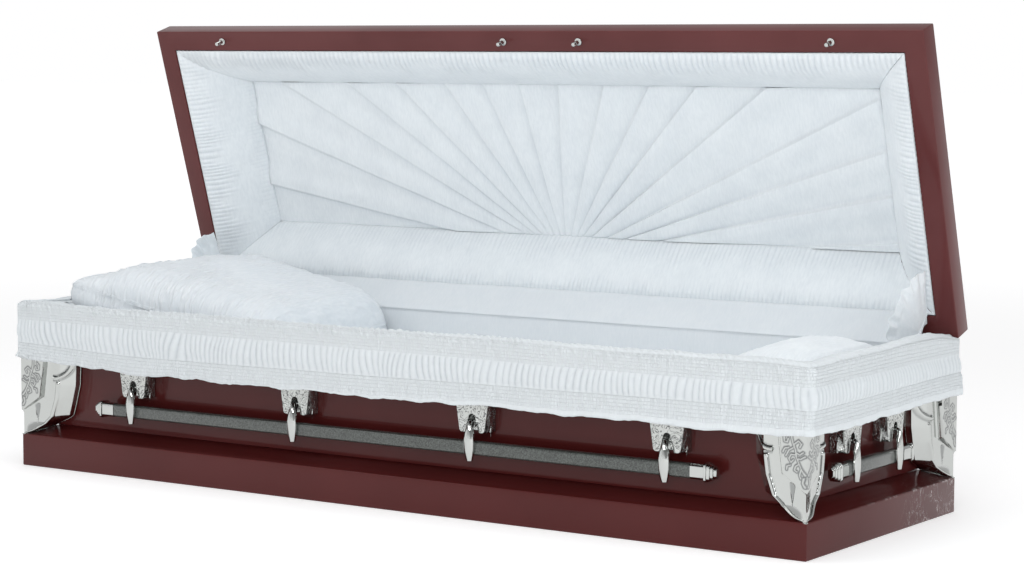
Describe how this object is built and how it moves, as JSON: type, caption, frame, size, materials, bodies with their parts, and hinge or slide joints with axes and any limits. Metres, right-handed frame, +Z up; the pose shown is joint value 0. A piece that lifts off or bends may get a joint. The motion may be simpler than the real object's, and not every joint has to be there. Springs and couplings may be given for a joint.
{
  "type": "funeral casket",
  "caption": "Full-couch metal funeral casket, lid open, with white crepe interior, shirred rail overlay, chrome corner castings and grey swing-bar handles.",
  "frame": {"origin": "middle of the underside", "axes": "+X along the casket to the foot end, +Y to the hinged back, +Z up"},
  "size_m": [2.166, 0.8182, 1.0657],
  "materials": {
    "maroon_paint": "high gloss maroon enamel on pressed sheet steel",
    "chrome": "bright plated castings with relief",
    "hammered_grey": "grey-green hammered enamel",
    "bare_steel": "plain sheet steel, hidden",
    "white_crepe": "white crepe, gathered and padded",
    "white_sheeting": "white crepe over soft filling"
  },
  "bodies": {
    "shell": {"base_pan": "maroon_paint", "bed_frame": "bare_steel", "body_walls": "maroon_paint", "corner_casting_back_foot": "chrome", "corner_casting_back_head": "chrome", "corner_casting_front_foot": "chrome", "corner_casting_front_head": "chrome", "corner_web_foot": "white_crepe", "corner_web_head": "white_crepe", "ear_back_1": "chrome", "ear_back_2": "chrome", "ear_back_3": "chrome", "ear_back_4": "chrome", "ear_foot_1": "chrome", "ear_foot_2": "chrome", "ear_front_1": "chrome", "ear_front_2": "chrome", "ear_front_3": "chrome", "ear_front_4": "chrome", "ear_head_1": "chrome", "ear_head_2": "chrome", "foot_cushion": "white_sheeting", "hinge_apron": "white_crepe", "hinge_leaf_body": "maroon_paint", "mattress": "white_sheeting", "overlay": "white_crepe", "pillow": "white_sheeting", "wall_lining": "white_crepe"},
    "lid": {"hinge_leaf_lid": "maroon_paint", "latch_stud_1": "chrome", "latch_stud_2": "chrome", "latch_stud_3": "chrome", "latch_stud_4": "chrome", "lid_puff": "white_crepe", "lid_shell": "maroon_paint", "sunburst_panel": "white_crepe"},
    "handle_front": {"arm_front_1": "chrome", "arm_front_2": "chrome", "arm_front_3": "chrome", "arm_front_4": "chrome", "bar_front": "hammered_grey", "tip_front_1": "chrome", "tip_front_2": "chrome"},
    "handle_back": {"arm_back_1": "chrome", "arm_back_2": "chrome", "arm_back_3": "chrome", "arm_back_4": "chrome", "bar_back": "hammered_grey", "tip_back_1": "chrome", "tip_back_2": "chrome"},
    "handle_foot": {"arm_foot_1": "chrome", "arm_foot_2": "chrome", "bar_foot": "hammered_grey", "tip_foot_1": "chrome", "tip_foot_2": "chrome"},
    "handle_head": {"arm_head_1": "chrome", "arm_head_2": "chrome", "bar_head": "hammered_grey", "tip_head_1": "chrome", "tip_head_2": "chrome"}
  },
  "joints": [
    {"name": "lid_hinge", "type": "hinge", "parent": "shell", "child": "lid", "pos_m": [0, 0.3548, 0.377], "axis": [1, 0, 0], "range_deg": [0, 72.65], "deforming": ["overlay", "pillow", "corner_web_foot", "corner_web_head", "hinge_apron"]},
    {"name": "front_handle_swing", "type": "hinge", "parent": "shell", "child": "handle_front", "pos_m": [0, -0.3205, 0.211], "axis": [-1, 0, 0], "range_deg": [0, 55]},
    {"name": "back_handle_swing", "type": "hinge", "parent": "shell", "child": "handle_back", "pos_m": [0, 0.3205, 0.211], "axis": [1, 0, 0], "range_deg": [0, 55]},
    {"name": "foot_handle_swing", "type": "hinge", "parent": "shell", "child": "handle_foot", "pos_m": [1.0355, 0, 0.211], "axis": [0, -1, 0], "range_deg": [0, 55]},
    {"name": "head_handle_swing", "type": "hinge", "parent": "shell", "child": "handle_head", "pos_m": [-1.0355, 0, 0.211], "axis": [0, 1, 0], "range_deg": [0, 55]}
  ]
}
